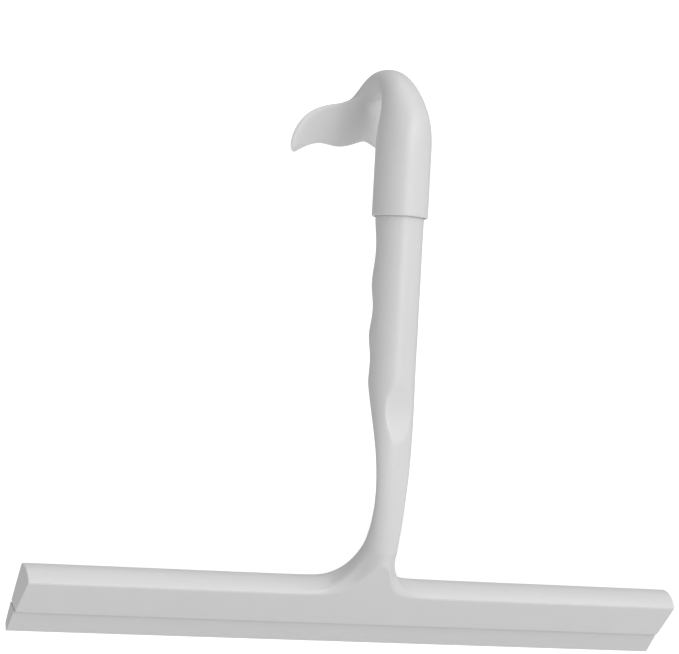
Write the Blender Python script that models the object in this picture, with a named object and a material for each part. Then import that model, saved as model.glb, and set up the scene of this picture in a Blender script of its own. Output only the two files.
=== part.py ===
"""Window cleaning squeegee with a swivelling hook cap.

One moulding is the handle, neck and blade holder. A silicone blade slides into the holder's
channel. A hook cap with a whale-tail end swivels on the handle's spigot, held by a rubber ring,
and hangs the tool on the top edge of a glass panel.

Sizes are worked out on the bench, with the blade's tip at height 0 and the handle's axis at
X = Y = 0. The finished part's origin is where the hook's crown sits on the glass.
"""
import math

import bmesh
import bpy
from mathutils import Vector

MM = 0.001
GAP = 0.3 * MM                      # clearance between neighbouring pieces

# Saddle of the hook, from the handle's axis and the blade's tip
SADDLE_Y = 21.0 * MM
SADDLE_Z = 234.5 * MM

# Blade holder: a bar along X. Section corners are (Y, Z).
BAR_LENGTH = 300.0 * MM
TOP_BACK = Vector((21.0, 28.5)) * MM
TOP_FRONT = Vector((10.7, 20.4)) * MM
BOTTOM_FRONT = Vector((24.9, 7.7)) * MM
BOTTOM_BACK = Vector((31.2, 12.4)) * MM
TOP_CROWN = 1.9 * MM                # how far the top face bulges over its chord
CROWN_STEPS = 8
FRONT_ALLOWANCE = 0.6 * MM          # stock in front of the bar, trimmed off with the neck's

# Channel for the blade, open at the right end
CHANNEL_DEPTH = 5.6 * MM            # from the bar's lower face to the bead's centre
CHANNEL_RADIUS = 2.4 * MM
CHANNEL_SLOT = 2.6 * MM
CHANNEL_END_WALL = 2.6 * MM
CHANNEL_OPEN = 3.0 * MM             # how far the cutter runs out past the bar's lower face
BEAD_SIDES = 20

# Silicone blade
LIP_RECESS = 1.2 * MM
LIP_TIP = Vector((34.2, 0.0)) * MM
LIP_TIP_BACK = Vector((35.7, 3.2)) * MM
TIP_BULGE = Vector((0.55, -0.55)) * MM
WEB_OVERLAP = 1.0 * MM              # how far the bead's web runs into the lip

# Handle and neck
HANDLE_RADIUS = 10.2 * MM
HANDLE_SIDES = 40
CAP_RIM_Z = 179.5 * MM
SHOULDER_Z = CAP_RIM_Z + 2.4 * MM
SPIGOT_RADIUS = 9.2 * MM
SPIGOT_TOP_Z = 207.0 * MM
SPIGOT_CHAMFER = 1.0 * MM
PAST_END = 5.0 * MM                 # how far a cutter stands out past an open end
BORE_RADIUS = 5.0 * MM
BORE_BOTTOM_Z = 118.0 * MM
GROOVE_DEPTH = 3.2 * MM
GROOVE_CRESTS = (180.0 * MM, 151.4 * MM, 129.8 * MM, 108.2 * MM)
GRIP_STEPS = 22
BORE_SIDES = 24

# Neck stations, top to bottom, in mm: front point and back point (Y, Z) of each ring, half
# width, and how square the ring is (2 is an ellipse)
NECK_STATIONS = (
    (-10.2, 118.0, 10.2, 118.0, 10.2, 2.0),
    (-10.3, 108.2, 8.2, 108.2, 9.9, 2.0),
    (-10.7, 96.0, 3.4, 96.0, 9.1, 2.0),
    (-11.0, 83.0, -1.0, 83.0, 8.0, 2.0),
    (-11.0, 73.5, -2.4, 74.5, 7.4, 2.0),
    (-10.5, 64.5, -2.4, 66.5, 6.9, 2.0),
    (-9.5, 55.5, -0.9, 59.0, 6.7, 2.0),
    (-8.0, 46.5, 2.0, 52.5, 6.7, 2.0),
    (-6.0, 39.0, 6.0, 46.5, 7.0, 2.1),
    (-4.0, 33.5, 9.8, 41.5, 7.8, 2.1),
    (-1.2, 28.5, 13.6, 36.8, 9.6, 2.2),
    (2.8, 23.5, 17.4, 32.4, 12.8, 2.4),
    (8.0, 17.5, 20.4, 27.4, 17.4, 2.6),
    (10.5, 14.0, 21.8, 23.8, 19.5, 2.6),
)
NECK_STEPS = 2

# Thumb rest, a shallow scoop in the front of the handle
SCOOP_TOP_Z = 109.6 * MM
SCOOP_BOTTOM_Z = 85.5 * MM
SCOOP_DEPTH = 1.7 * MM
SCOOP_LIFT = 0.4 * MM               # the grip swells this much in front, above the neck
SCOOP_SIDES = 96

# Rubber ring in the spigot's groove
RING_Z = 197.0 * MM
RING_FLOOR_RADIUS = 7.2 * MM
RING_SECTION = 0.85 * MM
RING_GROOVE = 2.6 * MM
RING_SECTION_SIDES = 10
RING_STEPS = 36

# Hook cap
CAP_RADIUS = 11.8 * MM
CAP_SIDES = 40
CAP_BORE_RADIUS = SPIGOT_RADIUS + GAP
CAP_BORE_TOP_Z = SPIGOT_TOP_Z + 1.5 * MM
CAP_MOUTH_RADIUS = HANDLE_RADIUS + GAP
ARCH_Z = 213.0 * MM

# Arch of the hook, in mm: Y and height over the arch's foot, half width, half depth
ARCH_STATIONS = (
    (0.0, 0.0, 11.8, 11.8),
    (0.3, 6.0, 10.9, 11.0),
    (2.2, 12.5, 9.6, 9.2),
    (6.0, 18.7, 8.1, 7.3),
    (11.3, 23.5, 6.9, 5.8),
    (18.3, 26.0, 6.1, 4.7),
    (26.6, 25.9, 5.6, 4.2),
    (33.9, 23.1, 5.5, 3.8),
)
ARCH_STEPS = 3

# Tail fluke, in mm: middle's Y and height, half width, height of the rib's outer end,
# half thickness of the web, height of the ridge over the web
FLUKE_STATIONS = (
    (38.4, 19.4, 6.8, 19.4, 2.8, 0.8),
    (40.3, 16.4, 11.2, 17.2, 2.0, 3.2),
    (41.3, 13.8, 17.4, 15.9, 1.6, 5.2),
    (41.9, 11.2, 24.0, 13.0, 1.4, 6.6),
    (42.3, 8.8, 28.8, 8.4, 1.3, 7.1),
    (42.5, 6.7, 32.1, 2.2, 1.2, 6.8),
    (42.6, 4.8, 33.2, -2.7, 1.1, 6.0),
    (42.6, 3.1, 32.8, -5.4, 1.0, 5.1),
    (42.6, 2.2, 31.1, -6.6, 0.7, 4.0),
)
FLUKE_STEPS = 2
TIP_CURL = 0.9 * MM                 # how far the tips lie in front of the middle
TIP_PLACE = 30.0 * MM
TIP_BEND = 2.5                      # how late a rib bends down on its way out to the tip
RIDGE_WIDTH = 8.5 * MM
RIDGE_BEHIND = 0.8                  # how much of the ridge shows as a hollow behind
LOBE_DROP = 4.8 * MM                # how far each lobe hangs under the middle notch
LOBE_X = 9.0 * MM
LOBE_WIDTH = 6.5 * MM
RIB_CROWDING = 1.5                  # how the corners of a rib crowd towards its middle

PLASTIC_COLOUR = (0.62, 0.62, 0.62, 1.0)
SILICONE_COLOUR = (0.56, 0.56, 0.56, 1.0)
RUBBER_COLOUR = (0.03, 0.03, 0.03, 1.0)


def clear_scene():
    """Remove every object that the scene holds."""
    for item in list(bpy.data.objects):
        bpy.data.objects.remove(item, do_unlink=True)


def make_material(name, colour, roughness):
    """A plain Principled material, with no metal in it."""
    material = bpy.data.materials.new(name)
    material.use_nodes = True
    shader = material.node_tree.nodes["Principled BSDF"]
    shader.inputs["Base Color"].default_value = colour
    shader.inputs["Roughness"].default_value = roughness
    shader.inputs["Metallic"].default_value = 0.0
    return material


def make_object(name, bm, material=None, smooth_angle=30.0):
    """Turn a bmesh into an object standing at the part's bench origin."""
    bmesh.ops.recalc_face_normals(bm, faces=bm.faces)
    mesh = bpy.data.meshes.new(name)
    bm.to_mesh(mesh)
    bm.free()
    mesh.shade_smooth()
    mesh.set_sharp_from_angle(angle=math.radians(smooth_angle))
    if material:
        mesh.materials.append(material)
    item = bpy.data.objects.new(name, mesh)
    bpy.context.collection.objects.link(item)
    item.location = (0.0, -SADDLE_Y, -SADDLE_Z)
    return item


def loft(rings, flat_end=False):
    """A closed skin over rings that hold the same number of points.

    A flat end is closed by strips between its two long sides, and any other by one face.
    """
    bm = bmesh.new()
    loops = [[bm.verts.new(point) for point in ring] for ring in rings]
    for low, high in zip(loops, loops[1:]):
        for here in range(len(low)):
            after = (here + 1) % len(low)
            bm.faces.new((low[here], low[after], high[after], high[here]))
    bm.faces.new(list(reversed(loops[0])))
    if not flat_end:
        bm.faces.new(loops[-1])
        return bm
    end = loops[-1]
    count = len(end)
    for here in range(count // 2):
        corners = [end[here], end[here + 1], end[-here - 1], end[-here % count]]
        bm.faces.new(list(dict.fromkeys(corners)))
    return bm


def extrude_section(outline, x_start, x_end):
    """Sweep a (Y, Z) outline along X."""
    return loft([[Vector((x, point[0], point[1])) for point in outline] for x in (x_start, x_end)])


def turned(profile, sides):
    """Turn a (radius, Z) profile about the handle's axis."""
    def ring(radius, height):
        turns = (2.0 * math.pi * step / sides for step in range(sides))
        return [Vector((radius * math.cos(a), radius * math.sin(a), height)) for a in turns]
    return loft([ring(radius, height) for radius, height in profile])


def use_boolean(target, tool, operation):
    """Join or cut a target with a tool that stays out of the finished part."""
    tool.hide_render = True
    tool.display_type = "WIRE"
    modifier = target.modifiers.new(tool.name, "BOOLEAN")
    modifier.operation = operation
    modifier.object = tool
    modifier.solver = "EXACT"


def through_stations(stations, place):
    """Smooth value of every column at a place between 0 and the last station's number."""
    last = len(stations) - 1
    here = min(int(place), last - 1)
    part = place - here
    rows = [stations[max(0, min(last, here + shift))] for shift in (-1, 0, 1, 2)]
    before, start, end, after = [Vector(row) for row in rows]
    return (start + (end - before) * (part / 2.0)
            + (before - start * 2.5 + end * 2.0 - after * 0.5) * part ** 2
            + (start * 1.5 - before * 0.5 - end * 1.5 + after * 0.5) * part ** 3)


def bar_outline():
    """The bar's section, with its bulging top face and stock on its front face."""
    chord = TOP_FRONT - TOP_BACK
    bulge = Vector((chord.y, -chord.x)).normalized()
    if bulge.y < 0.0:
        bulge = -bulge
    front_normal = (TOP_FRONT - BOTTOM_FRONT).orthogonal().normalized()
    if front_normal.x > 0.0:
        front_normal = -front_normal
    stock = front_normal * FRONT_ALLOWANCE
    outline = [BOTTOM_BACK, TOP_BACK]
    for step in range(1, CROWN_STEPS):
        part = step / CROWN_STEPS
        rise = 4.0 * TOP_CROWN * part * (1.0 - part)
        outline.append(TOP_BACK + chord * part + bulge * rise)
    return outline + [TOP_FRONT, TOP_FRONT + stock, BOTTOM_FRONT + stock, BOTTOM_FRONT]


def groove_wave(height):
    """0 on the crests between the finger grooves and 1 in the middle of each groove."""
    for high, low in zip(GROOVE_CRESTS, GROOVE_CRESTS[1:]):
        if low <= height <= high:
            return math.sin(math.pi * (height - low) / (high - low)) ** 2
    return 0.0


def swollen(value, power):
    """Sine or cosine of a turn round a superellipse."""
    return math.copysign(abs(value) ** (2.0 / power), value)


def handle_ring(front, back, half_width, power=2.0):
    """One ring of the grip or neck, with the finger grooves worn into its back."""
    middle = (front + back) / 2.0
    arm = (back - front) / 2.0
    ring = []
    for step in range(HANDLE_SIDES):
        turn = 2.0 * math.pi * step / HANDLE_SIDES
        cut = GROOVE_DEPTH * groove_wave(middle.y) * ((1.0 + math.sin(turn)) / 2.0) ** 3
        shrink = 1.0 - cut / HANDLE_RADIUS
        x = half_width * shrink * swollen(math.cos(turn), power)
        place = middle + arm * shrink * swollen(math.sin(turn), power)
        ring.append(Vector((x, place.x, place.y)))
    return ring


def round_ring(radius, height):
    """A level ring about the handle's axis."""
    return handle_ring(Vector((-radius, height)), Vector((radius, height)), radius)


def neck_rings():
    """Rings from inside the bar up to the top of the shaped neck."""
    last = len(NECK_STATIONS) - 1
    rings = []
    for count in range(last * NECK_STEPS, -1, -1):
        row = through_stations(NECK_STATIONS, count / NECK_STEPS)
        front = Vector(row[0:2]) * MM
        back = Vector(row[2:4]) * MM
        rings.append(handle_ring(front, back, row[4] * MM, row[5]))
    return rings


def grip_rings():
    """Rings of the round grip above the neck, up to the shoulder under the cap."""
    start = NECK_STATIONS[0][1] * MM
    end = GROOVE_CRESTS[0]
    rings = []
    for count in range(1, GRIP_STEPS + 1):
        height = start + (end - start) * count / GRIP_STEPS
        rings.append(round_ring(HANDLE_RADIUS, height))
    return rings


def spigot_rings():
    """Rings of the shoulder, the spigot and its groove for the rubber ring."""
    groove_low = RING_Z - RING_GROOVE / 2.0
    groove_high = RING_Z + RING_GROOVE / 2.0
    profile = (
        (HANDLE_RADIUS, SHOULDER_Z),
        (SPIGOT_RADIUS, SHOULDER_Z),
        (SPIGOT_RADIUS, groove_low),
        (RING_FLOOR_RADIUS, groove_low),
        (RING_FLOOR_RADIUS, groove_high),
        (SPIGOT_RADIUS, groove_high),
        (SPIGOT_RADIUS, SPIGOT_TOP_Z - SPIGOT_CHAMFER),
        (SPIGOT_RADIUS - SPIGOT_CHAMFER, SPIGOT_TOP_Z),
    )
    return [round_ring(radius, height) for radius, height in profile]


def channel_frame():
    """Centre of the blade's bead and the way out through the bar's lower face."""
    mouth = (BOTTOM_FRONT + BOTTOM_BACK) / 2.0
    way_in = (TOP_FRONT - BOTTOM_FRONT).normalized()
    return mouth, way_in, mouth + way_in * CHANNEL_DEPTH


def keyhole_outline(radius, half_slot, foot):
    """A round bead with a web that runs out to a foot below its centre."""
    mouth, way_in, centre = channel_frame()
    side = Vector((way_in.y, -way_in.x))
    opening = math.asin(half_slot / radius)
    outline = [centre - way_in * foot + side * half_slot]
    for step in range(BEAD_SIDES + 1):
        turn = opening + (2.0 * math.pi - 2.0 * opening) * step / BEAD_SIDES
        arm = side * math.sin(turn) - way_in * math.cos(turn)
        outline.append(centre + arm * radius)
    return outline + [centre - way_in * foot - side * half_slot]


def make_front_trim():
    """A block whose lower face is the bar's front plane."""
    size = 120.0 * MM
    length = BAR_LENGTH + 20.0 * MM
    slope = (BOTTOM_FRONT - TOP_FRONT).normalized()
    ahead = Vector((-slope.y, slope.x))
    if ahead.x > 0.0:
        ahead = -ahead
    near = TOP_FRONT - slope * size / 2.0
    far = TOP_FRONT + slope * size / 2.0
    outline = [near, far, far + ahead * size / 2.0, near + ahead * size / 2.0]
    return make_object("front_trim", extrude_section(outline, -length / 2.0, length / 2.0))


def make_scoop():
    """A roller along X that leaves the thumb rest, deepest just under its top edge."""
    middle = (SCOOP_TOP_Z + SCOOP_BOTTOM_Z) / 2.0
    chord = (SCOOP_TOP_Z - SCOOP_BOTTOM_Z) / 2.0
    radius = (chord ** 2 + SCOOP_DEPTH ** 2) / (2.0 * SCOOP_DEPTH)
    face = -HANDLE_RADIUS - SCOOP_LIFT
    outline = []
    for step in range(SCOOP_SIDES):
        turn = 2.0 * math.pi * step / SCOOP_SIDES
        y = face + SCOOP_DEPTH - radius + radius * math.cos(turn)
        outline.append(Vector((y, middle + radius * math.sin(turn))))
    reach = HANDLE_RADIUS + PAST_END
    return make_object("scoop", extrude_section(outline, -reach, reach))


def make_body(plastic):
    """Handle, neck and blade holder in one moulding."""
    body = make_object("body", loft(neck_rings() + grip_rings() + spigot_rings()), plastic)
    half = BAR_LENGTH / 2.0
    bar = make_object("bar", extrude_section(bar_outline(), -half, half))
    use_boolean(body, bar, "UNION")
    use_boolean(body, make_front_trim(), "DIFFERENCE")
    bore_ends = ((BORE_RADIUS, BORE_BOTTOM_Z), (BORE_RADIUS, SPIGOT_TOP_Z + PAST_END))
    use_boolean(body, make_object("bore", turned(bore_ends, BORE_SIDES)), "DIFFERENCE")
    keyhole = keyhole_outline(CHANNEL_RADIUS, CHANNEL_SLOT / 2.0, CHANNEL_DEPTH + CHANNEL_OPEN)
    channel = extrude_section(keyhole, -half + CHANNEL_END_WALL, half + PAST_END)
    use_boolean(body, make_object("channel", channel), "DIFFERENCE")
    use_boolean(body, make_scoop(), "DIFFERENCE")
    return body


def make_blade(silicone):
    """Silicone lip with a bead that slides in the holder's channel."""
    across = (BOTTOM_BACK - BOTTOM_FRONT).normalized()
    drop = (BOTTOM_FRONT - TOP_FRONT).normalized() * GAP
    front = BOTTOM_FRONT + across * LIP_RECESS + drop
    back = BOTTOM_BACK - across * LIP_RECESS / 2.0 + drop
    tip_round = (LIP_TIP + LIP_TIP_BACK) / 2.0 + TIP_BULGE
    lip = [front, LIP_TIP, tip_round, LIP_TIP_BACK, back]
    half = BAR_LENGTH / 2.0
    blade = make_object("blade", extrude_section(lip, -half, half), silicone)
    foot = CHANNEL_DEPTH + WEB_OVERLAP
    bead = keyhole_outline(CHANNEL_RADIUS - GAP, CHANNEL_SLOT / 2.0 - GAP, foot)
    bead_start = -half + CHANNEL_END_WALL + GAP
    bead_object = make_object("bead", extrude_section(bead, bead_start, half - GAP))
    use_boolean(blade, bead_object, "UNION")
    return blade


def make_ring(rubber):
    """Rubber ring that grips the inside of the cap."""
    bm = bmesh.new()
    radius = RING_FLOOR_RADIUS + GAP + RING_SECTION
    section = []
    for step in range(RING_SECTION_SIDES):
        turn = 2.0 * math.pi * step / RING_SECTION_SIDES
        x = radius + RING_SECTION * math.cos(turn)
        section.append(bm.verts.new((x, 0.0, RING_Z + RING_SECTION * math.sin(turn))))
    edges = [bm.edges.new(ends) for ends in zip(section, section[1:] + section[:1])]
    bmesh.ops.spin(bm, geom=section + edges, cent=(0, 0, 0), axis=(0, 0, 1),
                   angle=2.0 * math.pi, steps=RING_STEPS, use_merge=True)
    bmesh.ops.remove_doubles(bm, verts=bm.verts, dist=0.01 * MM)
    return make_object("seal_ring", bm, rubber)


def arch_rings():
    """Sections square to the arch's middle line, from the sleeve to the strap."""
    last = len(ARCH_STATIONS) - 1
    rings = []
    for count in range(1, last * ARCH_STEPS + 1):
        place = count / ARCH_STEPS
        y, rise, half_width, half_depth = through_stations(ARCH_STATIONS, place) * MM
        before = through_stations(ARCH_STATIONS, max(0.0, place - 0.1))
        after = through_stations(ARCH_STATIONS, min(last, place + 0.1))
        along = Vector((after[0] - before[0], after[1] - before[1])).normalized()
        outward = Vector((-along.y, along.x))
        ring = []
        for step in range(CAP_SIDES):
            turn = 2.0 * math.pi * step / CAP_SIDES
            side = -half_depth * math.sin(turn)
            x = half_width * math.cos(turn)
            ring.append(Vector((x, y + outward.x * side, ARCH_Z + rise + outward.y * side)))
        rings.append(ring)
    return rings


def lobe_drop(x, share):
    """How far a rib of the fluke hangs below its straight line, to shape the two lobes."""
    spread = (abs(x) - LOBE_X) / LOBE_WIDTH
    start = math.exp(-(LOBE_X / LOBE_WIDTH) ** 2)
    return LOBE_DROP * share * (math.exp(-spread ** 2) - start)


def fluke_rings():
    """Ribs of the whale-tail end, each running out to the leading edge."""
    last = len(FLUKE_STATIONS) - 1
    rings = []
    for count in range(0, last * FLUKE_STEPS + 1):
        place = count / FLUKE_STEPS
        y, middle, half_width, outer, web, ridge = through_stations(FLUKE_STATIONS, place) * MM
        share = place / last
        ring = []
        for step in range(CAP_SIDES):
            turn = 2.0 * math.pi * step / CAP_SIDES
            out = abs(math.cos(turn)) ** RIB_CROWDING
            x = math.copysign(half_width * out, math.cos(turn))
            height = middle + (outer - middle) * out ** TIP_BEND - lobe_drop(x, share ** 3)
            curl = TIP_CURL * (x / TIP_PLACE) ** 2
            swell = ridge * math.exp(-(abs(x) / RIDGE_WIDTH) ** 3)
            if math.sin(turn) <= 0.0:
                swell *= RIDGE_BEHIND * share
            depth = web * math.sin(turn) + curl + swell
            ring.append(Vector((x, y - depth, ARCH_Z + height)))
        rings.append(ring)
    return rings


def sleeve_rings():
    """The straight sleeve under the arch."""
    rings = []
    for height in (CAP_RIM_Z, ARCH_Z - 12.0 * MM, ARCH_Z):
        ring = []
        for step in range(CAP_SIDES):
            turn = 2.0 * math.pi * step / CAP_SIDES
            ring.append(Vector((CAP_RADIUS * math.cos(turn), CAP_RADIUS * math.sin(turn), height)))
        rings.append(ring)
    return rings


def make_hook_cap(plastic):
    """Cap with a sleeve for the spigot, an arch over the glass and a whale-tail end."""
    rings = sleeve_rings() + arch_rings() + fluke_rings()
    cap = make_object("hook_cap", loft(rings, flat_end=True), plastic)
    profile = (
        (CAP_MOUTH_RADIUS, CAP_RIM_Z - 5.0 * MM),
        (CAP_MOUTH_RADIUS, SHOULDER_Z + GAP),
        (CAP_BORE_RADIUS, SHOULDER_Z + GAP),
        (CAP_BORE_RADIUS, CAP_BORE_TOP_Z),
    )
    use_boolean(cap, make_object("cap_bore", turned(profile, CAP_SIDES)), "DIFFERENCE")
    return cap


def build():
    """Make every piece of the squeegee."""
    clear_scene()
    plastic = make_material("moulded_plastic", PLASTIC_COLOUR, 0.45)
    silicone = make_material("silicone", SILICONE_COLOUR, 0.55)
    rubber = make_material("ring_rubber", RUBBER_COLOUR, 0.7)
    make_body(plastic)
    make_blade(silicone)
    make_ring(rubber)
    make_hook_cap(plastic)


build()
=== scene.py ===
import math

import bmesh
import bpy
from mathutils import Matrix, Vector


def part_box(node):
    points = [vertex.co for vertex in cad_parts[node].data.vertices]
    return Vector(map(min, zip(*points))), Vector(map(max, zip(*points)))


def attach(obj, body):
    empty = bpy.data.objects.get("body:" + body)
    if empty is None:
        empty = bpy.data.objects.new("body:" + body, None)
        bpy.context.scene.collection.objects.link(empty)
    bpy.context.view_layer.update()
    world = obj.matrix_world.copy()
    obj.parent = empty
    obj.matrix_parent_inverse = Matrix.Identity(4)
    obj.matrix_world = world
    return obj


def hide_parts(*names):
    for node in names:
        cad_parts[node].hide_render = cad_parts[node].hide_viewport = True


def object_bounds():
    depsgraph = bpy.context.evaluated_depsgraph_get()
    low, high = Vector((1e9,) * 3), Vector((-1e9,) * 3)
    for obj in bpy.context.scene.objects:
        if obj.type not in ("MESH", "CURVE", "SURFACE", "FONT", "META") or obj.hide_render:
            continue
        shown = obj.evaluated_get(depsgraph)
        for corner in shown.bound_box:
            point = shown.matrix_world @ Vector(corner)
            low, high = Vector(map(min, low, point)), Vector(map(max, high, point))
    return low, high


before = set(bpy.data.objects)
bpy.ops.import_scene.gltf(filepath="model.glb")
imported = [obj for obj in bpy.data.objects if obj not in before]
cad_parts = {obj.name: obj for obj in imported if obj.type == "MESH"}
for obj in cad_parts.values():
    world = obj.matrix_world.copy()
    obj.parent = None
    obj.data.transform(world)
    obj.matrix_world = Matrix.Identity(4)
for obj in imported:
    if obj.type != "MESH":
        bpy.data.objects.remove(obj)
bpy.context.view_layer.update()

# ---------------------------------------------------------------------------------------------
# Studio: a pale floor, a big softbox to the front right, a smaller one in front and one overhead.
# The room is white all round. The floor lies low enough for the handle to be drawn off the cap.
# ---------------------------------------------------------------------------------------------
MM = 0.001
BLADE_LOW, BLADE_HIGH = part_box("blade")
RING_LOW, RING_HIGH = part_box("seal_ring")
BENCH = Vector((0.0, (RING_LOW.y + RING_HIGH.y) / 2.0, BLADE_LOW.z))

CAMERA_PLACE = Vector((-0.57521, -1.20152, -0.16698))
CAMERA_LOOK = Vector((0.42197003, 0.90526881, 0.04929171)).normalized()
CAMERA_ROLL = math.radians(3.213)
CAMERA_LENS = 166.74
SENSOR_WIDTH = 36.0
CAMERA_NEAR, CAMERA_FAR = 0.05, 60.0
SOFTBOX_AIM = Vector((0.0, 0.0, -0.1))
FLOOR_DROP = 45.0 * MM
FLOOR_SIZE = 24.0
WHITE = (1.0, 1.0, 1.0, 1.0)
ROOM_LIGHT = 0.46
FLOOR_GLOW = 0.085
SURROUND = 1.2
FLOOR_LIFT = 0.5


class Wire:
    """A socket of a node tree. Sums on wires add Math nodes, so a finish reads as a formula."""

    def __init__(self, tree, socket=None):
        self.tree = tree
        self.socket = socket

    def node(self, kind, settings, sockets, out=0):
        """Adds a node from its type, its settings, and the values or wires of its sockets."""
        added = self.tree.nodes.new(kind)
        for name, value in settings.items():
            setattr(added, name, value)
        for name, value in sockets.items():
            if isinstance(value, Wire):
                self.tree.links.new(value.socket, added.inputs[name])
            else:
                added.inputs[name].default_value = value
        return Wire(self.tree, added.outputs[out] if added.outputs else None)

    def sum_up(self, operation, one, other):
        return self.node("ShaderNodeMath", {"operation": operation}, {0: one, 1: other})

    def __add__(self, other):
        return self.sum_up("ADD", self, other)

    def __sub__(self, other):
        return self.sum_up("SUBTRACT", self, other)

    def __rsub__(self, other):
        return self.sum_up("SUBTRACT", other, self)

    def __mul__(self, other):
        return self.sum_up("MULTIPLY", self, other)

    __radd__ = __add__
    __rmul__ = __mul__


def empty_tree(owner):
    """An empty node tree for a finish or for the room."""
    owner.use_nodes = True
    owner.node_tree.nodes.clear()
    return Wire(owner.node_tree)


def add_camera():
    """A long lens, rolled a little about its own line of sight."""
    data = bpy.data.cameras.new("camera")
    data.lens = CAMERA_LENS
    data.sensor_width = SENSOR_WIDTH
    data.sensor_fit = "HORIZONTAL"
    data.clip_start = CAMERA_NEAR
    data.clip_end = CAMERA_FAR
    across = CAMERA_LOOK.cross(Vector((0.0, 0.0, 1.0))).normalized()
    upward = across.cross(CAMERA_LOOK)
    side = across * math.cos(CAMERA_ROLL) + upward * math.sin(CAMERA_ROLL)
    top = upward * math.cos(CAMERA_ROLL) - across * math.sin(CAMERA_ROLL)
    item = bpy.data.objects.new("camera", data)
    item.matrix_world = Matrix.LocRotScale(
        CAMERA_PLACE, Matrix((side, top, -CAMERA_LOOK)).transposed().to_quaternion(), None)
    bpy.context.scene.collection.objects.link(item)
    bpy.context.scene.camera = item


def add_softbox(name, place, size, power):
    """A square softbox that faces the piece."""
    data = bpy.data.lights.new(name, "AREA")
    data.shape = "SQUARE"
    data.size = size
    data.energy = power
    item = bpy.data.objects.new(name, data)
    item.location = place
    item.rotation_euler = (SOFTBOX_AIM - Vector(place)).to_track_quat("-Z", "Y").to_euler()
    bpy.context.scene.collection.objects.link(item)


def add_room():
    """White light from all round, with a pure white surround behind the piece."""
    bpy.context.scene.world = bpy.data.worlds.new("white_room")
    room = empty_tree(bpy.context.scene.world)
    light, seen = [
        room.node("ShaderNodeBackground", {}, {"Color": WHITE, "Strength": strength})
        for strength in (ROOM_LIGHT, SURROUND)]
    straight = room.node("ShaderNodeLightPath", {}, {}, "Is Camera Ray")
    both = room.node("ShaderNodeMixShader", {}, {0: straight, 1: light, 2: seen})
    room.node("ShaderNodeOutputWorld", {}, {"Surface": both})


def add_floor():
    """A plain pale floor, well below the squeegee."""
    bpy.ops.object.select_all(action="DESELECT")
    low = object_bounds()[0][2] - FLOOR_DROP
    bpy.ops.mesh.primitive_plane_add(size=FLOOR_SIZE, location=(0.0, 0.0, low))
    floor = bpy.context.object
    floor.name = "floor"
    bpy.ops.object.transform_apply(location=True, rotation=True, scale=True)
    pale_floor = bpy.data.materials.new("pale_floor")
    tree = empty_tree(pale_floor)
    paint = tree.node("ShaderNodeBsdfPrincipled", {}, {
        "Base Color": (0.9, 0.9, 0.9, 1.0), "Roughness": 0.8,
        "Emission Color": WHITE, "Emission Strength": FLOOR_GLOW})
    lift = tree.node("ShaderNodeEmission", {}, {"Color": WHITE, "Strength": FLOOR_LIFT})
    lifted = tree.node("ShaderNodeAddShader", {}, {0: paint, 1: lift})
    straight = tree.node("ShaderNodeLightPath", {}, {}, "Is Camera Ray")
    both = tree.node("ShaderNodeMixShader", {}, {0: straight, 1: paint, 2: lifted})
    tree.node("ShaderNodeOutputMaterial", {}, {"Surface": both})
    floor.data.materials.append(pale_floor)


bpy.context.scene.view_settings.view_transform = "Standard"
add_camera()
add_room()
add_floor()
add_softbox("key_softbox", (1.0, -1.9, 1.2), 1.8, 20.0)
add_softbox("front_softbox", (0.2, -2.3, 0.5), 0.9, 11.4)
add_softbox("top_softbox", (0.1, -0.3, 2.2), 1.8, 11.8)

# ---------------------------------------------------------------------------------------------
# Body: handle, neck and blade holder in one injection moulding of light grey plastic. The neck
# flows into the holder, whose flat front plane cuts a bell-shaped peak out of it. The spigot on
# top has a groove for the rubber ring, and the holder a round channel for the blade's bead.
# ---------------------------------------------------------------------------------------------
GRIP_SIDES = 18

# Turned part of the body, from the bore's floor up and over the spigot to the grip: radius, Z
SPIGOT_PROFILE = (
    (5.0, 118.0), (5.0, 118.8), (5.0, 128.0), (5.0, 190.0), (5.0, 206.0), (5.2, 206.8),
    (5.8, 207.0), (8.0, 207.0), (8.7, 206.6), (9.2, 206.0), (9.2, 204.6), (9.2, 199.0),
    (9.2, 198.3), (8.7, 198.3), (7.3, 198.3), (7.2, 197.8), (7.2, 196.2), (7.3, 195.7),
    (8.7, 195.7), (9.2, 195.7), (9.2, 194.9), (9.2, 183.0), (9.2, 181.9), (9.6, 181.9),
    (10.0, 181.9), (10.2, 181.7), (10.2, 181.0), (10.2, 178.0), (10.2, 170.0), (10.2, 162.0),
    (10.2, 154.0), (10.2, 146.0), (10.2, 138.0), (10.2, 130.0), (10.2, 124.0),
)
# Neck, top to bottom: front point and back point (Y, Z) of each ring, and half width
NECK_STATIONS = (
    (-10.2, 118.0, 10.2, 118.0, 10.2), (-10.3, 108.2, 8.2, 108.2, 9.9),
    (-10.7, 96.0, 3.4, 96.0, 9.1), (-11.0, 83.0, -1.0, 83.0, 8.0),
    (-11.0, 73.5, -2.4, 74.5, 7.4), (-10.5, 64.5, -2.4, 66.5, 6.9),
    (-9.5, 55.5, -0.9, 59.0, 6.7), (-8.0, 46.5, 2.0, 52.5, 6.7),
    (-6.0, 39.0, 6.0, 46.5, 7.0),
)
# Last two rings of the neck. The upper one is a plain ring, and the lower one's corners, from
# the front round to the back, lie on the flare that runs out on to the holder.
FLARE_RING = (-5.95, 38.6, 9.2, 42.2, 7.4)
FLARE_CORNERS = (
    (0.0, -5.9, 37.4), (4.2, -3.3, 36.3), (7.0, 2.2, 34.6), (8.7, 6.0, 33.0), (9.5, 9.5, 32.3),
    (9.4, 12.4, 32.7), (8.3, 14.6, 33.7), (6.2, 15.1, 34.8), (3.4, 14.9, 35.5),
    (0.0, 14.7, 35.8),
)
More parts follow.
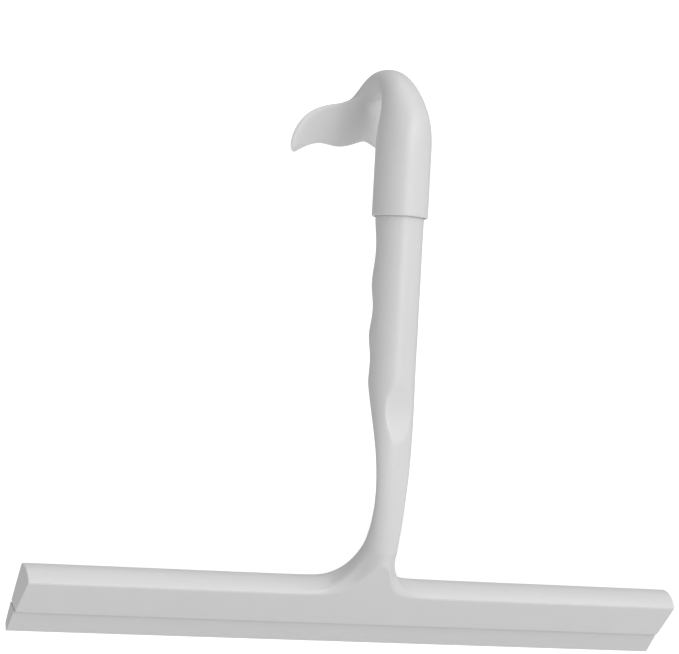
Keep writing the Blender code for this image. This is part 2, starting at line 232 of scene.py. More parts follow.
# Corners of the holder's section (Y, Z)
TOP_BACK = Vector((0.0, 21.0, 28.5)) * MM
TOP_FRONT = Vector((0.0, 10.7, 20.4)) * MM
BOTTOM_FRONT = Vector((0.0, 24.9, 7.7)) * MM
BOTTOM_BACK = Vector((0.0, 31.2, 12.4)) * MM
HOLDER_HALF = 150.4 * MM
TOP_CROWN = 2.0 * MM
UP_FRONT = (TOP_FRONT - BOTTOM_FRONT).normalized()
# How far the front plane's edge climbs into the neck, by distance from the middle, in mm
PEAK = {0.0: 22.0, 5.0: 14.5, 10.0: 3.6, 17.0: 0.3}
FOOT = 17.0
HOLDER_CUTS = (5.0, 10.0, FOOT, 32.0, 80.0)
EDGE_ROUND = 0.9 * MM
EDGE_STEPS = 3
SMOOTHNESS = 3
SMOOTH_ANGLE = math.radians(35.0)
TOUCH = 0.05 * MM
NECK_HOLE_TOP = 32.0 * MM


def pick(test, kind="VERT"):
    """Selects the corners, edges or faces of the piece in hand that pass the test."""
    bpy.ops.mesh.select_mode(type=kind)
    bpy.ops.mesh.select_all(action="DESELECT")
    mesh = bpy.context.edit_object.data
    bm = bmesh.from_edit_mesh(mesh)
    bm.verts.index_update()
    for part in {"VERT": bm.verts, "EDGE": bm.edges, "FACE": bm.faces}[kind]:
        if test(part):
            part.select_set(True)
    bm.select_flush_mode()
    bmesh.update_edit_mesh(mesh)


def corner_count():
    """How many corners the piece in hand has so far."""
    return len(bmesh.from_edit_mesh(bpy.context.edit_object.data).verts)


def start_ring(name, sides, radius, height):
    """Opens a new piece with a level ring about the handle's axis; sizes in mm."""
    bpy.ops.object.select_all(action="DESELECT")
    bpy.ops.mesh.primitive_circle_add(vertices=sides, radius=radius * MM, enter_editmode=True)
    bpy.context.object.name = name
    bpy.ops.mesh.select_all(action="SELECT")
    bpy.ops.transform.translate(value=(0.0, 0.0, height * MM))
    return radius, radius, 0.0, height, 0.0


def draw_out(ring, wide, deep, y, z, tilt=0.0):
    """Extrudes the picked ring to its next station: half width, half depth, place and tilt."""
    was_wide, was_deep, was_y, was_z, was_tilt = ring
    here = Vector((0.0, was_y, was_z)) * MM
    there = Vector((0.0, y, z)) * MM
    bpy.ops.mesh.extrude_region_move()
    if was_tilt:
        bpy.ops.transform.rotate(value=was_tilt, orient_axis="X", center_override=here)
    bpy.ops.transform.resize(
        value=(wide / was_wide, deep / was_deep, 1.0), center_override=here)
    bpy.ops.transform.translate(value=there - here)
    if tilt:
        bpy.ops.transform.rotate(value=-tilt, orient_axis="X", center_override=there)
    return wide, deep, y, z, tilt


def smooth_rows(stations, steps):
    """The stations with smooth in-between rows, so that each span has this many steps."""
    last = len(stations) - 1
    rows = []
    for count in range(last * steps + 1):
        here = min(count // steps, last - 1)
        part = count / steps - here
        before, start, end, after = [
            Vector(stations[max(0, min(last, here + shift))]) for shift in (-1, 0, 1, 2)]
        rows.append(start + (end - before) * (part / 2.0)
                    + (before - start * 2.5 + end * 2.0 - after * 0.5) * part ** 2
                    + (start * 1.5 - before * 0.5 - end * 1.5 + after * 0.5) * part ** 3)
    return rows


def bend_ring(first, sides, shape):
    """Moves the corners of a ring, in pairs either side of the middle, by what the shape says."""
    bm = bmesh.from_edit_mesh(bpy.context.edit_object.data)
    bm.verts.ensure_lookup_table()
    pairs = {}
    for index in range(first, first + sides):
        at = bm.verts[index].co / MM
        pairs.setdefault((round(abs(at.x), 2), round(at.y, 2), round(at.z, 2)), []).append(index)
    for at, indices in pairs.items():
        move = shape(Vector(at))
        pick(lambda v: v.index in indices)
        bpy.ops.transform.resize(value=((at[0] + move.x) / max(at[0], 0.01), 1.0, 1.0),
                                 center_override=(0.0, 0.0, 0.0))
        bpy.ops.transform.translate(value=(0.0, move.y * MM, move.z * MM))


def held_out(sides):
    """Smoothing draws a ring in, so a ring of so many sides starts this much larger."""
    return 1.0 / (2.0 / 3.0 + math.cos(2.0 * math.pi / sides) / 3.0)


def use(piece, kind, **settings):
    """Adds a modifier to a piece and applies it."""
    modifier = piece.modifiers.new(kind.lower(), kind)
    for name, value in settings.items():
        setattr(modifier, name, value)
    bpy.ops.object.select_all(action="DESELECT")
    bpy.context.view_layer.objects.active = piece
    piece.select_set(True)
    bpy.ops.object.modifier_apply(modifier=modifier.name)


def press(piece, depth, direction, weight_at):
    """Presses a piece in by a depth times a weight from 0 to 1 that depends on the place."""
    group = piece.vertex_groups.new(name="pressed")
    for corner in piece.data.vertices:
        weight = weight_at(corner.co / MM)
        if weight > 0.0005:
            group.add([corner.index], min(1.0, weight), "REPLACE")
    use(piece, "DISPLACE", strength=depth * MM, mid_level=0.0, direction=direction,
        vertex_group=group.name)
    piece.vertex_groups.clear()


def cut(piece, tool):
    """Cuts a tool's shape out of a piece and removes the tool."""
    use(piece, "BOOLEAN", operation="DIFFERENCE", object=tool, solver="EXACT")
    bpy.data.objects.remove(tool, do_unlink=True)


def carry(piece, body, node, material):
    """Sets a finished piece in its place on the squeegee and gives it its finish."""
    piece.data.transform(Matrix.Translation(BENCH))
    bpy.ops.object.select_all(action="DESELECT")
    bpy.context.view_layer.objects.active = piece
    piece.select_set(True)
    bpy.ops.object.mode_set(mode="EDIT")
    bpy.ops.mesh.select_all(action="SELECT")
    bpy.ops.mesh.normals_make_consistent(inside=False)
    bpy.ops.object.mode_set(mode="OBJECT")
    bpy.ops.object.shade_smooth_by_angle(angle=SMOOTH_ANGLE)
    piece.data.materials.clear()
    piece.data.materials.append(material)
    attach(piece, body)
    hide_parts(node)


def neck_ring(row):
    """Half width, half depth, place and tilt of a ring of the neck, from its two end points."""
    front, back = Vector(row[0:2]), Vector(row[2:4])
    middle = (front + back) / 2.0
    arm = back - front
    larger = held_out(GRIP_SIDES)
    return (row[4] * larger, arm.length / 2.0 * larger, middle.x, middle.y,
            math.atan2(arm.y, arm.x))


def draw_handle():
    """The bore, spigot, grip and neck in one skin, open at the foot of the neck."""
    larger = held_out(GRIP_SIDES)
    first_radius, first_height = SPIGOT_PROFILE[0]
    ring = start_ring("body_shell", GRIP_SIDES, first_radius * larger, first_height)
    for radius, height in SPIGOT_PROFILE[1:]:
        ring = draw_out(ring, radius * larger, radius * larger, 0.0, height)
    for row in smooth_rows(NECK_STATIONS, 2):
        ring = draw_out(ring, *neck_ring(row))
    ring = draw_out(ring, *neck_ring(FLARE_RING))
    first = corner_count()
    ring = draw_out(ring, *neck_ring(FLARE_RING))

    def flare(at):
        turn = math.atan2(at.x / ring[0], (ring[2] - at.y) / ring[1] / math.cos(ring[4]))
        return Vector(FLARE_CORNERS[round(turn * GRIP_SIDES / math.tau)]) - at

    bend_ring(first, GRIP_SIDES, flare)
    floor = SPIGOT_PROFILE[0][1] * MM
    pick(lambda v: abs(v.co.z - floor) < 0.01 * MM and v.co.xy.length < 6.0 * MM)
    bpy.ops.mesh.edge_face_add()


def add_block(corners):
    """Adds a block as long as the holder, its long edges moved to four corners (Y, Z)."""
    before = corner_count() if bpy.context.edit_object else 0
    bpy.ops.mesh.primitive_cube_add(size=2.0, enter_editmode=True)
    bpy.ops.transform.resize(value=(HOLDER_HALF, 1.0, 1.0))
    for corner, y, z in zip(corners, (1, -1, -1, 1), (1, 1, -1, -1)):
        at = Vector((0.0, y, z))
        pick(lambda v: v.index >= before and (v.co.yz - at.yz).length < 0.1)
        bpy.ops.transform.translate(value=corner - at)
    return before


def draw_holder():
    """The bar, with its bulging top face, open where the neck stands on it."""
    before = add_block((TOP_BACK, TOP_FRONT, BOTTOM_FRONT, BOTTOM_BACK))
    for x in [side * place * MM for place in HOLDER_CUTS for side in (-1, 1)] + [0.0]:
        pick(lambda v: v.index >= before)
        bpy.ops.mesh.bisect(plane_co=(x, 0.0, 0.0), plane_no=(1.0, 0.0, 0.0))
    top_along = (TOP_FRONT - TOP_BACK).normalized()
    top_normal = Vector((0.0, top_along.z, -top_along.y))
    for part in (1.0 / 3.0, 2.0 / 3.0):
        pick(lambda f: f.normal.dot(top_normal) > 0.999
             and abs((f.calc_center_median() - TOP_BACK).dot(top_normal)) < TOUCH, "FACE")
        bpy.ops.mesh.bisect(plane_co=TOP_BACK.lerp(TOP_FRONT, part), plane_no=top_along)
    top_width = (TOP_FRONT - TOP_BACK).length
    pick(lambda v: v.index >= before and abs((v.co - TOP_BACK).dot(top_normal)) < TOUCH
         and 0.2 < (v.co - TOP_BACK).dot(top_along) / top_width < 0.8)
    bpy.ops.transform.translate(value=top_normal * TOP_CROWN)
    pick(lambda f: f.normal.dot(top_normal) > 0.6
         and abs(f.calc_center_median().x) < FOOT * MM
         and f.calc_center_median().z < NECK_HOLE_TOP, "FACE")
    bpy.ops.mesh.delete(type="FACE")


def join_neck():
    """Bridges the neck's foot to the holder and draws the front plane up into a peak."""
    for x, climb in PEAK.items():
        pick(lambda v: abs(abs(v.co.x) - x * MM) < 0.1 * MM
             and (v.co.yz - TOP_FRONT.yz).length < 0.1 * MM)
        bpy.ops.transform.translate(value=UP_FRONT * climb * MM)
    pick(lambda e: e.is_boundary, "EDGE")
    bpy.ops.mesh.bridge_edge_loops()


def round_edges():
    """Rounds the holder's long edges and its two ends."""
    back_down = (BOTTOM_BACK - TOP_BACK).normalized()
    bottom = (BOTTOM_BACK - BOTTOM_FRONT).normalized()
    planes = [
        (TOP_FRONT, Vector((0.0, -UP_FRONT.z, UP_FRONT.y))),
        (TOP_BACK, Vector((0.0, -back_down.z, back_down.y))),
        (BOTTOM_FRONT, Vector((0.0, -bottom.z, bottom.y))),
        (Vector((HOLDER_HALF, 0.0, 0.0)), Vector((1.0, 0.0, 0.0))),
        (Vector((-HOLDER_HALF, 0.0, 0.0)), Vector((1.0, 0.0, 0.0))),
    ]

    def lies_in(face, plane):
        return all(abs((v.co - plane[0]).dot(plane[1])) < 0.02 * MM for v in face.verts)

    def on_an_edge(edge):
        if len(edge.link_faces) != 2:
            return False
        one, other = edge.link_faces
        return any(lies_in(one, plane) != lies_in(other, plane) for plane in planes)

    pick(on_an_edge, "EDGE")
    bpy.ops.mesh.bevel(offset=EDGE_ROUND, segments=EDGE_STEPS, affect="EDGES")


# Finger grooves in the back of the grip, between these crests, and the thumb rest in its front
GROOVE_CRESTS = (180.0, 151.4, 129.8, 108.2)
GROOVE_DEPTH = 3.2
BORE_REACH = 7.0
THUMB_MIDDLE = 97.6
THUMB_HALF = 11.9
THUMB_DEPTH = 1.6
THUMB_EDGE = 0.12
THUMB_FACE = 10.57
THUMB_SLOPE = 0.03
THUMB_DEEPER_UP = 0.3
THUMB_PRESS = 2.0
CHANNEL_SIDES = 48
PAST_END = 5.0 * MM
SLOT_BELOW = 4.0 * MM
CHANNEL_DEPTH = 5.6 * MM
CHANNEL_RADIUS = 2.4 * MM
CHANNEL_SLOT = 2.6 * MM
CHANNEL_END_WALL = 2.6 * MM


def groove_weight(at):
    """Deepest in the middle of each finger's groove and right at the back of the grip."""
    if at.xy.length < BORE_REACH:
        return 0.0
    for high, low in zip(GROOVE_CRESTS, GROOVE_CRESTS[1:]):
        if low <= at.z <= high:
            behind = (1.0 + at.y / max(at.xy.length, 0.1)) / 2.0
            return math.sin(math.pi * (at.z - low) / (high - low)) ** 2 * behind ** 3
    return 0.0


def thumb_weight(at):
    """A hollow that is flat from side to side, so that its outline on the grip is an oval."""
    up = (at.z - THUMB_MIDDLE) / THUMB_HALF
    if abs(up) > 1.3 or at.y > 0.0 or at.xy.length < BORE_REACH:
        return 0.0
    depth = THUMB_DEPTH * (1.0 - up * up) * (1.0 + THUMB_DEEPER_UP * up)
    under = depth - THUMB_FACE + THUMB_SLOPE * (at.z - THUMB_MIDDLE) - at.y
    soft = math.sqrt(under * under + 4.0 * THUMB_EDGE ** 2)
    return max(0.0, (under + soft) / 2.0 - 0.01) / THUMB_PRESS


def cut_channel(piece):
    """The round channel for the blade's bead and the slot below it, open at the right end."""
    mouth = (BOTTOM_FRONT + BOTTOM_BACK) / 2.0
    centre = mouth + UP_FRONT * CHANNEL_DEPTH
    start, end = -HOLDER_HALF + CHANNEL_END_WALL, HOLDER_HALF + PAST_END
    lean = math.atan2(-UP_FRONT.y, UP_FRONT.z)
    bpy.ops.mesh.primitive_cylinder_add(
        vertices=CHANNEL_SIDES, radius=CHANNEL_RADIUS, depth=end - start,
        location=((start + end) / 2.0, centre.y, centre.z), rotation=(0.0, math.pi / 2.0, 0.0))
    cut(piece, bpy.context.object)
    middle = centre - UP_FRONT * (CHANNEL_DEPTH + SLOT_BELOW) / 2.0
    bpy.ops.mesh.primitive_cube_add(
        size=1.0, location=((start + end) / 2.0, middle.y, middle.z), rotation=(lean, 0.0, 0.0),
        scale=(end - start, CHANNEL_SLOT, CHANNEL_DEPTH + SLOT_BELOW))
    cut(piece, bpy.context.object)


draw_handle()
draw_holder()
join_neck()
round_edges()
bpy.ops.object.mode_set(mode="OBJECT")
body = bpy.context.object
use(body, "SUBSURF", levels=SMOOTHNESS, render_levels=SMOOTHNESS)
press(body, -GROOVE_DEPTH, "NORMAL", groove_weight)
press(body, THUMB_PRESS, "Y", thumb_weight)
cut_channel(body)

PLASTIC_GREY = 0.62
GRAIN_SIZE = 0.5 * MM
GRAIN_DEPTH = 0.012 * MM
GRIP_LOW = BENCH.z + 82.0 * MM
GRIP_HIGH = BENCH.z + 176.0 * MM
RUB_FADE = 8.0 * MM
TINT_REACH = 0.38
BEND_SOFT, BEND_TIGHT = 0.4, 1.1
# Painted highlight on convex edges and painted shade in nooks, as shares of the grey
EDGE_PAINTED_HIGHLIGHT = 0.28
NOOK_PAINTED_SHADE = 0.15


def grey(level):
    """A neutral grey."""
    return level, level, level, 1.0


def ramp(value, low, high):
    """0 below the low value and 1 above the high one, with a soft start and end."""
    return value.node("ShaderNodeMapRange", {"interpolation_type": "SMOOTHSTEP"}, {
        "Value": value, "From Min": low, "From Max": high})


def tinted_grey(tree, tone, level):
    """A grey that a tone above 0 makes paler and a tone below 0 makes darker."""
    return tree.node("ShaderNodeMix", {"data_type": "RGBA"}, {
        0: ramp(tone, -1.0, 1.0), 6: grey(level * (1.0 - TINT_REACH)),
        7: grey(level * (1.0 + TINT_REACH))}, 2)


def mark_bends(piece):
    """Notes at each corner how tightly the surface bends there, per mm, and inward as minus."""
    bm = bmesh.new()
    bm.from_mesh(piece.data)
    middles = [face.calc_center_median() for face in bm.faces]
    bends = [[0.0] for corner in bm.verts]
    for edge in bm.edges:
        if len(edge.link_faces) == 2:
            one, other = edge.link_faces
            apart = (middles[one.index] - middles[other.index]).length / MM
            bend = edge.calc_face_angle_signed(0.0) / max(apart, 0.1)
            for corner in edge.verts:
                bends[corner.index].append(max(-2.0, min(2.0, bend)))
    bm.free()
    marks = piece.data.attributes.new("bend", "FLOAT", "POINT")
    marks.data.foreach_set("value", [2.0 * sum(near) / len(near) for near in bends])


def moulded_plastic(name, shift, handled):
    """Satin plastic with the mould's fine grain, faint flow clouds and smoother edges, with a
    painted highlight along its edges and painted shade in its nooks.
    """
    finish = bpy.data.materials.new(name)
    tree = empty_tree(finish)
    place = tree.node("ShaderNodeTexCoord", {}, {}, "Object")
    here = tree.node("ShaderNodeMapping", {}, {"Vector": place, "Location": shift})
    grain = tree.node("ShaderNodeTexNoise", {}, {
        "Vector": here, "Scale": 1.0 / GRAIN_SIZE, "Detail": 3.0, "Roughness": 0.6})
    cloud = tree.node("ShaderNodeTexNoise", {}, {
        "Vector": here, "Scale": 32.0, "Detail": 3.0, "Distortion": 0.8})
    speck = tree.node("ShaderNodeTexVoronoi", {"feature": "F1"}, {
        "Vector": here, "Scale": 130.0, "Randomness": 1.0})
    bend = tree.node("ShaderNodeAttribute", {"attribute_name": "bend"}, {}, "Fac")
    # The edge mask carries a painted highlight and a smoother finish, the nook mask a painted
    # shade and a rougher finish
    edge = ramp(bend, BEND_SOFT, BEND_TIGHT)
    nook = 1.0 - ramp(bend, -BEND_TIGHT, -BEND_SOFT)
    height = tree.node("ShaderNodeSeparateXYZ", {}, {"Vector": place}, "Z")
    rubbed = ramp(height, GRIP_LOW - RUB_FADE, GRIP_LOW + RUB_FADE)
    rubbed = rubbed * (1.0 - ramp(height, GRIP_HIGH - RUB_FADE, GRIP_HIGH)) * handled
    dot = 1.0 - ramp(speck, 0.05, 0.09)
    # The tone adds a painted highlight along edges and a painted shade in nooks to the grain and
    # clouds
    tone = cloud * 0.05 + grain * 0.02 - 0.035 + edge * EDGE_PAINTED_HIGHLIGHT - nook * NOOK_PAINTED_SHADE
    tinted = tinted_grey(tree, tone - dot * 0.03, PLASTIC_GREY)
    rough = cloud * 0.08 + grain * 0.06 + 0.29 - edge * 0.08 + nook * 0.1 - rubbed * 0.05
    relief = tree.node("ShaderNodeBump", {}, {
        "Height": grain + cloud * 0.4 - rubbed * grain * 0.4, "Distance": GRAIN_DEPTH,
        "Strength": 0.8})
    plastic = tree.node("ShaderNodeBsdfPrincipled", {}, {
        "Base Color": tinted, "Roughness": rough, "Normal": relief, "IOR": 1.5})
    tree.node("ShaderNodeOutputMaterial", {}, {"Surface": plastic})
    return finish


mark_bends(body)
carry(body, "handle", "body",
      moulded_plastic("body_satin_plastic", (0.0, 0.0, 0.0), 1.0))

# ---------------------------------------------------------------------------------------------
# Hook cap: a sleeve that turns on the spigot, an arch that hangs on the glass and a whale-tail
# end, moulded in one in the body's plastic. The arch thins to a strap, and the tail is a plate
# with a ridge down its middle and a rounded rim.
# ---------------------------------------------------------------------------------------------
CAP_SIDES = 24

# Sleeve, from the top of its bore down, round the rim and up its outside: radius, Z
SLEEVE_PROFILE = (
    (9.5, 208.5), (9.5, 207.8), (9.5, 195.0), (9.5, 183.0), (9.5, 182.4), (9.7, 182.2),
    (10.3, 182.2), (10.5, 182.0), (10.5, 181.2), (10.7, 180.3), (10.95, 179.7), (11.1, 179.5),
    (11.4, 179.5), (11.68, 179.62), (11.8, 179.9), (11.8, 180.6), (11.8, 186.0), (11.8, 196.0),
    (11.8, 206.0), (11.8, 211.0),
)
ARCH_FOOT = 213.0
# Arch: Y and height over its foot, half width, half depth
ARCH_STATIONS = (
    (0.0, 0.0, 11.8, 11.8), (0.3, 6.0, 10.9, 11.0), (2.2, 12.5, 9.6, 9.2),
    (6.0, 18.7, 8.1, 7.3), (11.3, 23.5, 6.9, 5.8), (18.3, 26.0, 6.1, 4.7),
    (26.6, 25.9, 5.6, 4.2), (33.9, 23.1, 5.5, 3.8),
)
# Tail: middle's Y and height over the arch's foot, half width, height of the rib's outer end,
# half thickness, height of the ridge
TAIL_STATIONS = (
    (38.4, 19.4, 6.9, 19.4, 2.8, 0.8), (40.3, 16.4, 11.4, 17.2, 2.0, 3.4),
    (41.3, 13.8, 17.8, 15.9, 1.6, 5.6), (41.9, 11.2, 24.6, 13.0, 1.4, 7.0),
    (42.3, 8.8, 29.6, 8.4, 1.3, 7.5), (42.5, 6.7, 33.0, 2.2, 1.2, 7.2),
    (42.6, 4.8, 34.0, -2.9, 1.1, 6.4), (42.6, 3.1, 33.6, -6.0, 1.0, 5.4),
    (42.6, 2.2, 31.9, -7.2, 0.7, 4.2),
)
TAIL_CURL = 0.9
CURL_PLACE = 30.0
RIM_FULLNESS = 6.0
TIP_BEND = 2.5
MIDDLE_CROWD = 1.5
RIDGE_WIDTH = 8.5
RIDGE_BEHIND = 0.8
LOBE_DROP = 5.4
LOBE_PLACE = 9.0
LOBE_WIDTH = 6.5


def tail_shape(row, share):
    """How far a corner of one rib of the tail moves from a plain flat ring."""
    middle_y, middle, half_width, outer, web, ridge = row

    def shape(at):
        was_out = min(1.0, at.x / half_width)
        out = was_out ** MIDDLE_CROWD
        x = half_width * out
        hang = math.exp(-((x - LOBE_PLACE) / LOBE_WIDTH) ** 2)
        hang -= math.exp(-(LOBE_PLACE / LOBE_WIDTH) ** 2)
        rise = (outer - middle) * out ** TIP_BEND - LOBE_DROP * share ** 3 * hang
        full = (1.0 - out ** RIM_FULLNESS) ** (1.0 / RIM_FULLNESS)
        thicker = web * (full - (1.0 - was_out ** 2) ** 0.5)
        curl = -TAIL_CURL * (x / CURL_PLACE) ** 2
        swell = ridge * math.exp(-(x / RIDGE_WIDTH) ** 3)
        if at.y < middle_y:
            return Vector((x - at.x, curl - thicker - swell, rise))
        return Vector((x - at.x, curl + thicker - swell * RIDGE_BEHIND * share, rise))

    return shape


def close_tail(first):
    """Closes the tail's end with strips between its two sides."""
    bm = bmesh.from_edit_mesh(bpy.context.edit_object.data)
    bm.verts.ensure_lookup_table()
    ring = {index: bm.verts[index].co.x / MM for index in range(first, first + CAP_SIDES)}
    places = sorted(set(round(x, 2) for x in ring.values()))
    for left, right in zip(places, places[1:]):
        pick(lambda v: v.index in ring
             and min(abs(v.co.x / MM - left), abs(v.co.x / MM - right)) < 0.02)
        bpy.ops.mesh.edge_face_add()


def draw_cap():
    """Sleeve, arch and tail in one skin."""
    larger = held_out(CAP_SIDES)
    ring = start_ring("hook_cap_shell", CAP_SIDES, SLEEVE_PROFILE[0][0] * larger,
                      SLEEVE_PROFILE[0][1])
    for radius, height in SLEEVE_PROFILE[1:]:
        ring = draw_out(ring, radius * larger, radius * larger, 0.0, height)
    rows = smooth_rows(ARCH_STATIONS, 2)
    for before, row, after in zip(rows, rows[1:], rows[2:] + [Vector(TAIL_STATIONS[0][0:4])]):
        y, rise, half_width, half_depth = row
        tilt = math.atan2(-(after[0] - before[0]), after[1] - before[1])
        ring = draw_out(ring, half_width * larger, half_depth * larger, y, ARCH_FOOT + rise, tilt)
    ribs = []
    rows = smooth_rows(TAIL_STATIONS, 2)
    for count, row in enumerate(rows):
        ribs.append((corner_count(), row, count / (len(rows) - 1)))
        ring = draw_out(ring, row[2], row[4], row[0], ARCH_FOOT + row[1], -math.pi)
    close_tail(ribs[-1][0])
    for first, row, share in ribs:
        bend_ring(first, CAP_SIDES, tail_shape(row, share))
    top = SLEEVE_PROFILE[0][1] * MM
    pick(lambda v: abs(v.co.z - top) < 0.01 * MM and v.co.xy.length < 10.0 * MM)
    bpy.ops.mesh.edge_face_add()


draw_cap()
bpy.ops.object.mode_set(mode="OBJECT")
hook_cap = bpy.context.object
use(hook_cap, "SUBSURF", levels=SMOOTHNESS, render_levels=SMOOTHNESS)
mark_bends(hook_cap)
carry(hook_cap, "hook_cap", "hook_cap",
      moulded_plastic("cap_satin_plastic", (0.31, 0.17, 0.05), 0.0))

# ---------------------------------------------------------------------------------------------
# Blade: a wedge of pale silicone rubber, extruded with a bead along its top that slides into the
# holder's channel from the right-hand end.
# ---------------------------------------------------------------------------------------------
LIP_RECESS = 1.2 * MM
LIP_TIP = Vector((0.0, 34.4, -0.5)) * MM
LIP_TIP_BACK = Vector((0.0, 35.7, 3.2)) * MM
LIP_GAP = 0.1 * MM
GAP = 0.3 * MM
BEAD_RADIUS = CHANNEL_RADIUS - GAP
WEB_HALF = CHANNEL_SLOT / 2.0 - GAP
BEAD_STEPS = 14
TIP_ROUND, TIP_STEPS = 1.1 * MM, 5
SHOULDER_ROUND, SHOULDER_STEPS = 0.35 * MM, 3


def round_long_edges(corners, width, steps):
    """Rounds the edges that run along the blade through these corners of its section."""
    pick(lambda e: any(all((v.co.yz - corner.yz).length < TOUCH for v in e.verts)
                       for corner in corners), "EDGE")
    bpy.ops.mesh.bevel(offset=width, segments=steps, affect="EDGES")


def draw_blade():
    """The lip as a wedge, then the web and the bead drawn out of its top face."""
    across = (BOTTOM_BACK - BOTTOM_FRONT).normalized()
    centre = (BOTTOM_FRONT + BOTTOM_BACK) / 2.0 + UP_FRONT * CHANNEL_DEPTH
    lean = math.atan2(-UP_FRONT.y, UP_FRONT.z)
    upright = Matrix.Rotation(-lean, 3, "X")
    corners = (BOTTOM_BACK - across * LIP_RECESS / 2.0 - UP_FRONT * LIP_GAP,
               BOTTOM_FRONT + across * LIP_RECESS - UP_FRONT * LIP_GAP, LIP_TIP, LIP_TIP_BACK)
    placed = [upright @ (corner - centre) for corner in corners]
    add_block(placed)
    for x in (-HOLDER_HALF + CHANNEL_END_WALL + GAP, HOLDER_HALF - GAP):
        pick(lambda f: f.normal.z > 0.7, "FACE")
        bpy.ops.mesh.bisect(plane_co=(x, 0.0, 0.0), plane_no=(1.0, 0.0, 0.0))
    for y in (-WEB_HALF, WEB_HALF):
        pick(lambda f: f.normal.z > 0.7, "FACE")
        bpy.ops.mesh.bisect(plane_co=(0.0, y, 0.0), plane_no=(0.0, 1.0, 0.0))
    pick(lambda f: f.normal.z > 0.7 and abs(f.calc_center_median().y) < WEB_HALF / 2.0
         and abs(f.calc_center_median().x) < 10.0 * MM, "FACE")
    opening = math.asin(WEB_HALF / BEAD_RADIUS)
    half, height = WEB_HALF, None
    for step in range(BEAD_STEPS):
        turn = opening + (math.pi - opening) * step / (BEAD_STEPS - 0.4)
        new_half, new_height = BEAD_RADIUS * math.sin(turn), -BEAD_RADIUS * math.cos(turn)
        bpy.ops.mesh.extrude_region_move()
        if height is None:
            bpy.ops.transform.resize(value=(1.0, 1.0, 0.0), center_override=(0.0, 0.0, 0.0))
            height = 0.0
        bpy.ops.transform.resize(
            value=(1.0, new_half / half, 1.0), center_override=(0.0, 0.0, height))
        bpy.ops.transform.translate(value=(0.0, 0.0, new_height - height))
        half, height = new_half, new_height
    round_long_edges(placed[2:], TIP_ROUND, TIP_STEPS)
    round_long_edges(placed[:2], SHOULDER_ROUND, SHOULDER_STEPS)
    bpy.ops.mesh.select_all(action="SELECT")
    bpy.ops.transform.rotate(value=-lean, orient_axis="X", center_override=(0.0, 0.0, 0.0))
    bpy.ops.transform.translate(value=centre)


draw_blade()
bpy.ops.object.mode_set(mode="OBJECT")
blade = bpy.context.object
blade.name = "blade_strip"

SILICONE_GREY = 0.585
DIE_LINE = 0.35 * MM
# Height of the band at the foot of the lip that gets the painted glow
LIP_THIN = 7.0 * MM


def extruded_silicone():
    """Soft silicone with the fine lines that the die leaves along it, and a painted glow of light
    through the lip near its tip.
    """
    finish = bpy.data.materials.new("blade_silicone")
    tree = empty_tree(finish)
    place = tree.node("ShaderNodeTexCoord", {}, {}, "Object")
    along = tree.node("ShaderNodeMapping", {}, {"Vector": place, "Scale": (0.006, 1.0, 1.0)})
    line = tree.node("ShaderNodeTexNoise", {}, {
        "Vector": along, "Scale": 1.0 / DIE_LINE, "Detail": 2.0, "Roughness": 0.5})
    cloud = tree.node("ShaderNodeTexNoise", {}, {"Vector": place, "Scale": 26.0, "Detail": 3.0})
    bloom = tree.node("ShaderNodeTexNoise", {}, {
        "Vector": place, "Scale": 900.0, "Detail": 2.0, "Roughness": 0.7})
    height = tree.node("ShaderNodeSeparateXYZ", {}, {"Vector": place}, "Z")
    # Painted glow: the lowest part of the lip is made paler, as if light shone through it
    lip_glow_mask = 1.0 - ramp(height, BENCH.z, BENCH.z + LIP_THIN)
    tone = line * 0.04 + cloud * 0.05 + bloom * 0.02 - 0.055 + lip_glow_mask * 0.05
    tinted = tinted_grey(tree, tone, SILICONE_GREY)
    rough = cloud * 0.1 + line * 0.08 + 0.42
    relief = tree.node("ShaderNodeBump", {}, {
        "Height": line + bloom * 0.25, "Distance": 0.01 * MM, "Strength": 0.8})
    silicone = tree.node("ShaderNodeBsdfPrincipled", {}, {
        "Base Color": tinted, "Roughness": rough, "Normal": relief, "IOR": 1.41,
        "Sheen Weight": 0.06, "Sheen Roughness": 0.5})
    tree.node("ShaderNodeOutputMaterial", {}, {"Surface": silicone})
    return finish


carry(blade, "blade", "blade", extruded_silicone())

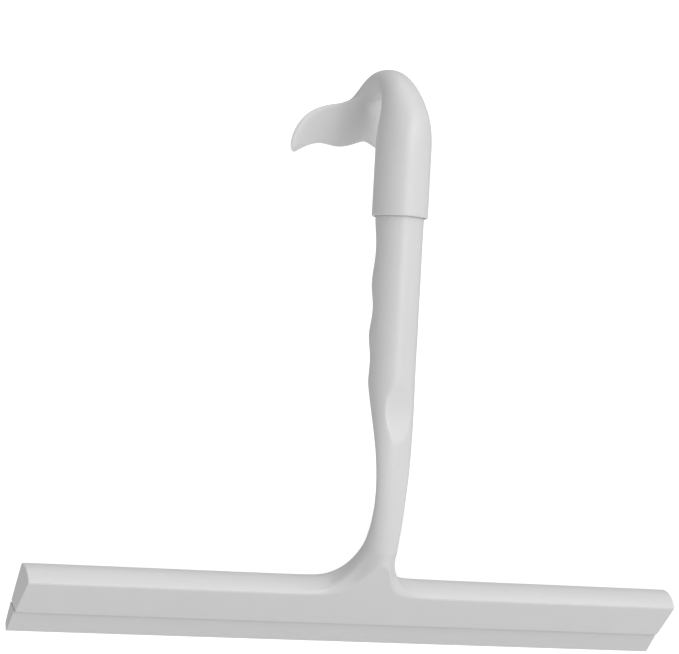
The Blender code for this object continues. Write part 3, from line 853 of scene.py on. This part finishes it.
# ---------------------------------------------------------------------------------------------
# Seal ring: a black rubber O-ring in the spigot's groove, with the fine flash line of its mould.
# It keeps water out of the handle, and its friction holds the cap on and lets it turn.
# ---------------------------------------------------------------------------------------------
RING_RADIUS = 8.35 * MM
RING_SECTION = 0.85 * MM
RING_HEIGHT = 197.0 * MM
RING_STEPS = 72
RING_SECTION_SIDES = 20
FLASH_LINE = 1.006
bpy.ops.object.select_all(action="DESELECT")
bpy.ops.mesh.primitive_torus_add(
    major_segments=RING_STEPS, minor_segments=RING_SECTION_SIDES, major_radius=RING_RADIUS,
    minor_radius=RING_SECTION)
seal_ring = bpy.context.object
seal_ring.name = "seal_ring_rubber"
bpy.ops.object.mode_set(mode="EDIT")
pick(lambda v: v.co.xy.length > RING_RADIUS + RING_SECTION - 0.01 * MM)
bpy.ops.transform.resize(value=(FLASH_LINE, FLASH_LINE, 1.0))
bpy.ops.mesh.select_all(action="SELECT")
bpy.ops.transform.translate(value=(0.0, 0.0, RING_HEIGHT))
bpy.ops.object.mode_set(mode="OBJECT")


def black_rubber():
    """Black nitrile rubber, matt, with a fine grain and a trace of grey talc in it."""
    finish = bpy.data.materials.new("ring_black_rubber")
    tree = empty_tree(finish)
    place = tree.node("ShaderNodeTexCoord", {}, {}, "Object")
    grain = tree.node("ShaderNodeTexNoise", {}, {
        "Vector": place, "Scale": 3200.0, "Detail": 3.0, "Roughness": 0.65})
    talc = tree.node("ShaderNodeTexNoise", {}, {"Vector": place, "Scale": 260.0, "Detail": 4.0})
    dusty = ramp(talc, 0.52, 0.75)
    tinted = tree.node("ShaderNodeMix", {"data_type": "RGBA"}, {
        0: dusty * 0.6 + grain * 0.1, 6: grey(0.02), 7: grey(0.09)}, 2)
    relief = tree.node("ShaderNodeBump", {}, {
        "Height": grain, "Distance": 0.015 * MM, "Strength": 0.8})
    rubber = tree.node("ShaderNodeBsdfPrincipled", {}, {
        "Base Color": tinted, "Roughness": dusty * 0.15 + grain * 0.1 + 0.5, "Normal": relief})
    tree.node("ShaderNodeOutputMaterial", {}, {"Surface": rubber})
    return finish


carry(seal_ring, "ring", "seal_ring", black_rubber())
